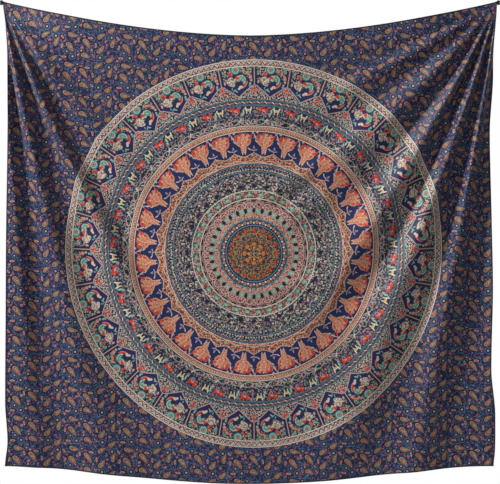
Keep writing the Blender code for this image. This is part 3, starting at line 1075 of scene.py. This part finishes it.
def cloth_material(name, inner):
    """The printed cloth, with its weave.  Its back shows the print paler."""
    material, shader = new_material(name)
    paint, behind, x, y = print_paint(inner)
    worn = noise(WORN_PATCH, 3)
    threads = (noise(SLUB, 2, flat_map(SLUB_STRETCH)) * 0.5
               + noise(SLUB, 2, flat_map(SLUB_STRETCH[::-1])) * 0.5)
    shade = scaled(threads - 0.5, 0.5, 1.0) * scaled(worn - 0.5, 0.25, 1.0)
    grey = make("ShaderNodeCombineColor")
    for socket in grey.inputs:
        put(socket, shade)
    grey = Num(grey.outputs[0])
    paint = mixed(paint, grey, 1.0, "MULTIPLY")
    show_through = mixed(paint, "6f6a78", 0.42)
    paint = mixed(paint, show_through, behind)
    put(shader.inputs["Base Color"], paint)
    put(shader.inputs["Roughness"], scaled(worn + threads, 0.10, 0.44))
    shader.inputs["Specular IOR Level"].default_value = 0.42
    shader.inputs["Sheen Weight"].default_value = 0.25
    shader.inputs["Sheen Roughness"].default_value = 0.45
    shader.inputs["Sheen Tint"].default_value = (0.80, 0.84, 0.95, 1)
    bump(shader, weave(x, y, WEAVE) * 0.5 + threads, 0.25, 0.0006)
    return material


def object_place():
    return Num(make("ShaderNodeTexCoord").outputs["Object"])


def dark_cloth_material(name, paint, light):
    """Doubled, stitched cloth, near-black with a visible weave. On the hems this near-black is
    painted shade: it stands in for the dark, shaded line along the rolled edge.
    """
    material, shader = new_material(name)
    p = object_place()
    px, _, pz = parts(p)
    blotch = noise(0.02, 3, p, "3D")
    put(shader.inputs["Base Color"], mixed(paint, light, scaled(blotch, 1.1, -0.2)))
    put(shader.inputs["Roughness"], scaled(blotch, 0.2, 0.6))
    shader.inputs["Sheen Weight"].default_value = 0.2
    bump(shader, weave(px, pz, 0.0009) + blotch, 0.4, 0.0004)
    return material


def thread_material():
    material, shader = new_material("sewing_thread")
    p = object_place()
    px, _, pz = parts(p)
    twist = calc("SINE", (px + pz) * 9000)
    put(shader.inputs["Base Color"], mixed("14162a", "343a58", scaled(twist, 0.3, 0.4)))
    put(shader.inputs["Roughness"], scaled(noise(0.004, 2, p, "3D"), 0.3, 0.4))
    shader.inputs["Sheen Weight"].default_value = 0.3
    bump(shader, twist, 0.4, 0.0001)
    return material


def plastic_material():
    material, shader = new_material("pin_plastic")
    p = object_place()
    mould = noise(0.0012, 3, p, "3D")
    put(shader.inputs["Base Color"], mixed("0c0c10", "1c1c22", mould))
    put(shader.inputs["Roughness"], scaled(mould, 0.2, 0.18))
    shader.inputs["Coat Weight"].default_value = 0.3
    bump(shader, mould, 0.15, 0.0001)
    return material


def steel_material():
    material, shader = new_material("needle_steel")
    p = object_place()
    px, py, pz = parts(p)
    drawn = noise(0.01, 3, point(px * 30, py, pz * 30), "3D")
    put(shader.inputs["Base Color"], mixed("a8aab0", "d0d2d8", drawn))
    put(shader.inputs["Roughness"], scaled(drawn, 0.25, 0.18))
    shader.inputs["Metallic"].default_value = 1.0
    bump(shader, drawn, 0.2, 0.00005)
    return material


CLOTH_BORDER = cloth_material("printed_cloth_border", inner=False)
CLOTH_MIDDLE = cloth_material("printed_cloth_middle", inner=True)
# The hem's near-black is painted shade for the dark, shaded line along the rolled edge; the mitred
# bottom corners share it.
HEM = dark_cloth_material("dark_hem", "090a16", "1a1c34")
TAB = dark_cloth_material("corner_cloth", "06070f", "131527")
THREAD = thread_material()
PLASTIC = plastic_material()
STEEL = steel_material()


# ---------------------------------------------------------------- the sheet

def unit(vectors):
    return vectors / np.maximum(np.linalg.norm(vectors, axis=-1, keepdims=True), 1e-9)


def normals_of(points):
    """Normals of a grid, towards the front."""
    right = np.gradient(points, axis=1)
    down = np.gradient(points, axis=0)
    return unit(np.cross(down, right))


def make_cloth():
    across, down = np.meshgrid(crowded(COLUMNS, COLUMN_CROWDING), np.linspace(0, 1, ROWS + 1))
    middle = hang_point(across, down)
    normals = normals_of(middle)
    front = middle + normals * CLOTH_THICKNESS / 2
    back = middle - normals * CLOTH_THICKNESS / 2
    count = (ROWS + 1) * (COLUMNS + 1)
    points = np.concatenate([front.reshape(-1, 3), back.reshape(-1, 3)])
    index = np.arange(count).reshape(ROWS + 1, COLUMNS + 1)
    rim = np.concatenate([index[0, :-1], index[:-1, -1], index[-1, :0:-1], index[:0:-1, 0]])
    after = np.roll(rim, -1)
    border = np.stack([rim, after, after + count, rim + count], axis=-1)
    quads = np.concatenate([grid_faces(ROWS, COLUMNS),
                            grid_faces(ROWS, COLUMNS, count, flip=True), border])
    mesh = mesh_from("printed_sheet", points, quads)

    arc_x = (running_length(middle, 1) - 0.5) * FLAT_WIDTH - FLAT_CENTRE[0]
    arc_y = (0.5 - running_length(middle, 0)) * FLAT_LENGTH - FLAT_CENTRE[1]
    even_x = (middle[..., 0] - PRINT_CENTRE[0]) * PRINT_STRETCH[0]
    even_y = (middle[..., 2] - PRINT_CENTRE[1]) * PRINT_STRETCH[1]
    flat_x = even_x + (arc_x - even_x) * FOLD_SHARE
    flat_y = even_y + (arc_y - even_y) * FOLD_SHARE
    flat = np.stack([flat_x, flat_y, np.zeros_like(flat_x)], axis=-1).reshape(-1, 3) * 1000
    behind = flat + (0, 0, 1)
    place = mesh.attributes.new(FLAT_MAP, "FLOAT_VECTOR", "POINT")
    place.data.foreach_set("vector", np.concatenate([flat, behind]).ravel().astype(np.float32))

    layer = mesh.uv_layers.new(name=FLAT_MAP + "_map")
    place_map = np.concatenate([flat, behind])[quads][..., :2]
    layer.data.foreach_set("uv", place_map.astype(np.float32).ravel())

    # The front takes most of the bake, the back a strip under it, the rim a line between.
    i, j = np.meshgrid(np.linspace(0, 1, COLUMNS + 1), np.linspace(1, 0, ROWS + 1))
    front_map = np.stack([i, BACK_SHARE + (1 - BACK_SHARE) * j], axis=-1).reshape(-1, 2)
    back_map = np.stack([i, (BACK_SHARE - 0.01) * j], axis=-1).reshape(-1, 2)
    vertex_map = np.concatenate([front_map, back_map])
    corners = vertex_map[quads]
    k = np.arange(len(border)) / len(border)
    low, high = BACK_SHARE - 0.007, BACK_SHARE - 0.003
    step = 1 / len(border)
    corners[-len(border):] = np.stack([np.stack([k + ahead, np.full_like(k, height)], -1)
                                       for ahead, height in ((0, high), (step, high),
                                                             (step, low), (0, low))], axis=1)
    layer = mesh.uv_layers.new(name=BAKE_MAP)
    layer.data.foreach_set("uv", corners.reshape(-1, 2).astype(np.float32).ravel())
    from_middle = np.hypot(*place_map.mean(axis=1).T)
    mesh.polygons.foreach_set("material_index", (from_middle < SPLIT).astype(np.int32))
    return new_object("printed_sheet", mesh, CLOTH_BORDER, CLOTH_MIDDLE)


# ---------------------------------------------------------------- hems, stitches, corners

RIGHT, UP, OUT = Vector((1, 0, 0)), Vector((0, 0, 1)), Vector((0, -1, 0))


def edge_frames(side, count, start=0.0, stop=1.0):
    """Points along one edge, the way in from it, the way along it, and the front."""
    t = np.linspace(start, stop, count)
    low, step = np.zeros(count), 0.004
    if side == "top":
        here, inner = (2 * t - 1, low), (2 * t - 1, low + step)
    elif side == "bottom":
        here, inner = (2 * t - 1, low + 1), (2 * t - 1, low + 1 - step)
    elif side == "left":
        here, inner = (low - 1, t), (low - 1 + step, t)
    else:
        here, inner = (low + 1, t), (low + 1 - step, t)
    edge = hang_point(*here)
    along = unit(np.gradient(edge, axis=0))
    inward = hang_point(*inner) - edge
    inward = unit(inward - along * np.sum(inward * along, axis=-1, keepdims=True))
    front = unit(np.cross(along, inward))
    front *= np.where(front[:, 1:2] > 0, -1, 1)
    return edge, inward, along, front


def make_hem(side, widen=None):
    """A strip along one edge: an oval tube that puckers at its stitches."""
    count = 420
    edge, inward, _, front = edge_frames(side, count)
    t = np.linspace(0, 1, count)
    travel = t * EDGE_LENGTH
    pucker = np.sin(2 * math.pi * travel / PUCKER_PITCH + 2 * np.sin(travel * 31))
    drift = np.sin(travel * 17) + np.sin(travel * 41 + 2)
    width = HEM_WIDTH * (1 + 0.05 * pucker + 0.05 * drift)
    if widen is not None:
        width = width * widen(t)
    thick = HEM_THICKNESS * (1 + 0.12 * pucker)
    sides = 14
    angle = np.linspace(0, 2 * math.pi, sides, endpoint=False)
    c, s = np.cos(angle), np.sin(angle)
    flat_c = np.sign(c) * np.abs(c) ** 0.6
    flat_s = np.sign(s) * np.abs(s) ** 0.8
    centre = edge + inward * (width / 2)[:, None]
    rings = (centre[:, None, :]
             + inward[:, None, :] * (width / 2)[:, None, None] * flat_c[None, :, None]
             + front[:, None, :] * (thick / 2)[:, None, None] * flat_s[None, :, None])
    points = rings.reshape(-1, 3)
    j, i = np.meshgrid(np.arange(count - 1), np.arange(sides), indexing="ij")
    a = j * sides + i
    b = j * sides + (i + 1) % sides
    quads = np.stack([a, b, b + sides, a + sides], axis=-1).reshape(-1, 4)
    mesh = bpy.data.meshes.new("turned_hem_" + side)
    ends = [list(range(sides - 1, -1, -1)), list(range((count - 1) * sides, count * sides))]
    mesh.from_pydata(points.tolist(), [], quads.tolist() + ends)
    mesh.shade_smooth()
    tidy_normals(mesh)
    return new_object("turned_hem_" + side, mesh, HEM)


def tidy_normals(mesh):
    work = bmesh.new()
    work.from_mesh(mesh)
    bmesh.ops.recalc_face_normals(work, faces=work.faces)
    work.to_mesh(mesh)
    work.free()


def make_stitches(side):
    """A row of lock stitches, seen on the front and on the back."""
    spans = {"top": 2.27, "bottom": 2.24, "left": 2.09, "right": 2.09}
    count = int(spans[side] / STITCH_PITCH)
    edge, inward, along, front = edge_frames(side, count + 2, 0.004, 0.996)
    sides = 5
    angle = np.linspace(0, 2 * math.pi, sides, endpoint=False)
    template = [(-1.0, 0.0, 0.0)]
    for place in (-0.62, 0.62):
        template += [(place, math.cos(v), math.sin(v)) for v in angle]
    template.append((1.0, 0.0, 0.0))
    template = np.array(template)
    faces = [(0, 1 + (k + 1) % sides, 1 + k) for k in range(sides)]
    far = 1 + sides
    faces += [(1 + k, 1 + (k + 1) % sides, far + (k + 1) % sides, far + k) for k in range(sides)]
    faces += [(far + sides, far + k, far + (k + 1) % sides) for k in range(sides)]
    points, all_faces = [], []
    lift = HEM_THICKNESS / 2 - STITCH_RADIUS * 0.2
    for face in (1, -1):
        for k in range(1, count + 1):
            place = edge[k] + inward[k] * STITCH_INSET + front[k] * face * lift
            sway = 0.05 * math.sin(7.3 * k)
            ahead = along[k] + inward[k] * sway
            first = len(points) * len(template)
            block = (place + ahead * template[:, :1] * STITCH_LENGTH / 2
                     + inward[k] * template[:, 1:2] * STITCH_RADIUS
                     + front[k] * face * (template[:, 2:] * STITCH_RADIUS
                                          - np.abs(template[:, :1]) ** 3 * STITCH_RADIUS))
            points.append(block)
            all_faces += [tuple(first + v for v in f) for f in faces]
    mesh = bpy.data.meshes.new("hem_stitches_" + side)
    mesh.from_pydata(np.concatenate(points).tolist(), [], all_faces)
    mesh.shade_smooth()
    tidy_normals(mesh)
    return new_object("hem_stitches_" + side, mesh, THREAD)


def skin(work, rings, capped=False):
    """A surface over rings of points.  A ring of one point closes the shape."""
    made = [[work.verts.new(place) for place in ring] for ring in rings]
    around = max(len(ring) for ring in made)
    for lower, upper in zip(made, made[1:]):
        for k in range(around):
            n = (k + 1) % around
            if len(lower) == 1:
                work.faces.new((lower[0], upper[k], upper[n]))
            elif len(upper) == 1:
                work.faces.new((lower[k], lower[n], upper[0]))
            else:
                work.faces.new((lower[k], lower[n], upper[n], upper[k]))
    if capped:
        work.faces.new(made[0][::-1])
        work.faces.new(made[-1])


def pad(work, centre, wide, tall, thick, power=5.0, warp=0.0):
    """A soft flat pad with round corners and a rounded rim."""
    around, steps = 28, ((0.0, 1.0), (0.6, 1.0), (0.9, 0.86), (1.0, 0.45))
    rings = []
    for share, height in steps + tuple((s, -h) for s, h in reversed(steps)):
        ring = []
        for k in range(around):
            v = 2 * math.pi * k / around
            c, s = math.cos(v), math.sin(v)
            cx = math.copysign(abs(c) ** (2 / power), c) * share * wide / 2
            cy = math.copysign(abs(s) ** (2 / power), s) * share * tall / 2
            bend = warp * (cx * cy) / (wide * tall) * 4
            ring.append(centre + RIGHT * cx + UP * cy + OUT * (height * thick / 2 + bend))
        rings.append(ring)
    skin(work, [rings[0][:1]] + rings[1:-1] + [rings[-1][:1]])


def finish_mesh(name, work, *materials):
    bmesh.ops.recalc_face_normals(work, faces=work.faces)
    mesh = bpy.data.meshes.new(name)
    work.to_mesh(mesh)
    work.free()
    mesh.shade_smooth()
    return new_object(name, mesh, *materials)


def thread_bar(work, start, end, radius):
    """One short stitch between two points, as a slim bar with pinched ends."""
    axis = end - start
    side = axis.cross(OUT).normalized()
    rings = []
    for t, size in ((0, 0.3), (0.15, 1), (0.5, 1.1), (0.85, 1), (1, 0.3)):
        place = start + axis * t
        rings.append([place + (side * math.cos(v) + OUT * math.sin(v)) * radius * size
                      for v in (k * math.pi / 3 for k in range(6))])
    skin(work, rings, capped=True)


def make_top_corner(node):
    """The pinned corner: both hems folded over each other and sewn in a small box."""
    low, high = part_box(node)
    middle = (low + high) / 2
    wide, thick, tall = high - low
    work = bmesh.new()
    layer = thick / 3
    for k, (share, drop, turn) in enumerate(((1.0, 0.0, 1.0), (0.95, 0.0004, -1.0),
                                             (0.88, -0.0003, 1.0))):
        centre = Vector((middle.x, high.y - layer * (k + 0.5), middle.z - drop))
        pad(work, centre, wide * share, tall * share, layer * 1.08,
            warp=0.0003 * turn)
    corner = finish_mesh("pinned_" + node, work, TAB)
    work = bmesh.new()
    front = low.y - 0.00012
    left, right = low.x + BOX_STITCH_INSET, high.x - BOX_STITCH_INSET
    base, peak = low.z + BOX_STITCH_INSET, BOX_STITCH_TOP
    places = [(left, base, right, base), (right, base, right, peak), (right, peak, left, peak),
              (left, peak, left, base), (left, base, right, peak), (right, base, left, peak)]
    for x0, z0, x1, z1 in places:
        start, end = Vector((x0, front, z0)), Vector((x1, front, z1))
        steps = max(2, round((end - start).length / BOX_STITCH_LENGTH))
        for k in range(steps):
            thread_bar(work, start.lerp(end, (k + 0.14) / steps),
                       start.lerp(end, (k + 0.86) / steps), BOX_STITCH_RADIUS)
    sewn = finish_mesh("box_stitch_" + node, work, THREAD)
    return corner, sewn


def make_bottom_corner(node, curl):
    """The bottom corner where two hems fold over each other, slightly rounded."""
    low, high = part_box(node)
    middle = (low + high) / 2
    size = CORNER_SIZE + CORNER_CURL * curl
    work = bmesh.new()
    tip = hang_point(np.array([math.copysign(1.0, middle.x)]), np.array([1.0]))[0]
    inside = -math.copysign(1.0, middle.x)
    for k, share in enumerate((1.0, 0.9)):
        centre = Vector((tip[0] + inside * size * 0.42, tip[1] - 0.0004 + 0.0011 * (1 - 2 * k),
                         tip[2] + size * 0.42))
        pad(work, centre, size * share, size * share, 0.0017, power=3.2,
            warp=0.0006 * curl)
    return finish_mesh("mitred_" + node, work, HEM)


# ---------------------------------------------------------------- pins

def lathe(name, profile, centre, material, around=28):
    """Turn a profile of (radius, distance out from the wall) about the pin's axis."""
    work = bmesh.new()
    rings = []
    for radius, out in profile:
        place = centre + OUT * out
        rings.append([place + (RIGHT * math.cos(v) + UP * math.sin(v)) * radius
                      for v in (2 * math.pi * k / around for k in range(around if radius else 1))])
    skin(work, rings)
    return finish_mesh(name, work, material)


def make_pin(side):
    head_low, head_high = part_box(side + "_pin_head")
    needle_low, needle_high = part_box(side + "_pin_needle")
    centre = Vector(((head_low.x + head_high.x) / 2, 0, (head_low.z + head_high.z) / 2))
    flange = (head_high.x - head_low.x) / 2
    seat, face = -head_high.y, -head_low.y
    long = face - seat
    shares = ((0.0, 0.0), (0.86, 0.0), (0.97, 0.02), (1.0, 0.06), (0.98, 0.11), (0.9, 0.145),
              (0.7, 0.17), (0.62, 0.22), (0.585, 0.32), (0.575, 0.45), (0.60, 0.56), (0.68, 0.66),
              (0.80, 0.74), (0.86, 0.81), (0.85, 0.88), (0.76, 0.945), (0.55, 0.985), (0.28, 0.998),
              (0.0, 1.0))
    head = lathe(side + "_push_pin_head", [(r * flange, seat + h * long) for r, h in shares],
                 centre, PLASTIC, 36)
    radius = (needle_high.x - needle_low.x) / 2
    tip, root = -needle_high.y, -needle_low.y
    profile = [(0.0, tip), (radius * 0.25, tip + 0.0005), (radius * 0.7, tip + 0.0016),
               (radius * 0.95, tip + 0.0024), (radius, tip + 0.0032), (radius, (tip + root) / 2),
               (radius, root - 0.0002), (radius * 0.8, root), (0.0, root)]
    needle = lathe(side + "_push_pin_needle", profile, centre, STEEL, 16)
    return head, needle


cloth = make_cloth()
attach(cloth, "sheet")
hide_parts("cloth_panel")

# The left hem widens at the bottom corner, where it curls.
trims = []
for side in ("top", "bottom", "left", "right"):
    flare = None
    if side == "left":
        flare = lambda t: 1 + FLARE * smooth_step(t, FLARE_FROM, FLARE_TO)
    hem = make_hem(side, widen=flare)
    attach(hem, "sheet")
    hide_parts("hem_" + side)
    stitches = make_stitches(side)
    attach(stitches, "sheet")
    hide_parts("stitching_" + side)
    trims += [hem, stitches]
for node, curl in (("bottom_left_corner", 1.0), ("bottom_right_corner", 0.3)):
    corner = make_bottom_corner(node, curl)
    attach(corner, "sheet")
    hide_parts(node)
    trims.append(corner)
for node in ("top_left_corner", "top_right_corner"):
    corner, sewn = make_top_corner(node)
    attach(corner, "pinned_corners")
    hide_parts(node)
    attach(sewn, "pinned_corners")
    trims += [corner, sewn]
for side in ("left", "right"):
    head, needle = make_pin(side)
    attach(head, side + "_pin")
    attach(needle, side + "_pin")
    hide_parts(side + "_pin_head")
    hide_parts(side + "_pin_needle")


# ---------------------------------------------------------------- floor, light, camera

scene = bpy.context.scene
low, high = (Vector(corner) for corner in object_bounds())
middle = (low + high) / 2


def make_floor():
    material, shader = new_material("pale_floor")
    shader.inputs["Base Color"].default_value = (0.86, 0.86, 0.86, 1)
    shader.inputs["Roughness"].default_value = 0.9
    wide, deep, z = 3.2, 2.1, low.z - FLOOR_GAP
    mesh = bpy.data.meshes.new("floor")
    mesh.from_pydata([(-wide, -deep, z), (wide, -deep, z), (wide, deep, z), (-wide, deep, z)],
                     [], [(0, 1, 2, 3)])
    floor = new_object("floor", mesh, material)
    floor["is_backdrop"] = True


def make_world():
    """White behind everything, and a softer light from all round."""
    global tree
    world = bpy.data.worlds.new("studio")
    world.use_nodes = True
    tree = world.node_tree
    tree.nodes.clear()
    seen = make("ShaderNodeBackground")
    seen.inputs["Color"].default_value = (1, 1, 1, 1)
    seen.inputs["Strength"].default_value = 1.0
    soft = make("ShaderNodeBackground")
    soft.inputs["Color"].default_value = (0.93, 0.96, 1, 1)
    soft.inputs["Strength"].default_value = AMBIENT
    mix = make("ShaderNodeMixShader")
    path = make("ShaderNodeLightPath")
    tree.links.new(path.outputs["Is Camera Ray"], mix.inputs[0])
    tree.links.new(soft.outputs[0], mix.inputs[1])
    tree.links.new(seen.outputs[0], mix.inputs[2])
    out = make("ShaderNodeOutputWorld")
    tree.links.new(mix.outputs[0], out.inputs["Surface"])
    scene.world = world


def soft_light(name, place, target, wide, tall, power, paint):
    light = bpy.data.lights.new(name, "AREA")
    light.shape = "RECTANGLE"
    light.size, light.size_y = wide, tall
    light.energy = power
    light.color = paint
    lamp = bpy.data.objects.new(name, light)
    lamp.location = place
    lamp.rotation_euler = (Vector(target) - Vector(place)).to_track_quat("-Z", "Y").to_euler()
    scene.collection.objects.link(lamp)


FLOOR_GAP = 0.35
AMBIENT = 0.15
make_floor()
make_world()
soft_light("key", place=(-4.3, -2.1, 2.7), target=(0.0, 0, 1.6), wide=1.0, tall=1.3,
           power=415, paint=(1.0, 0.99, 0.98))
soft_light("fill", place=(0.6, -5.5, 2.2), target=(0.0, 0, -0.7), wide=2.0, tall=2.0,
           power=36, paint=(1.0, 0.98, 0.96))
scene.view_settings.view_transform = "Standard"

CAMERA_DISTANCE = 8.0
VIEW_WIDTH = 2.2735
SENSOR = 36.0
camera = bpy.data.cameras.new("camera")
camera.sensor_width = SENSOR
camera.lens = SENSOR * CAMERA_DISTANCE / VIEW_WIDTH
camera.clip_end = 60
eye = bpy.data.objects.new("camera", camera)
eye.location = (0, -CAMERA_DISTANCE, VIEW_MIDDLE)
eye.rotation_euler = (math.pi / 2, 0, 0)
scene.collection.objects.link(eye)
scene.camera = eye
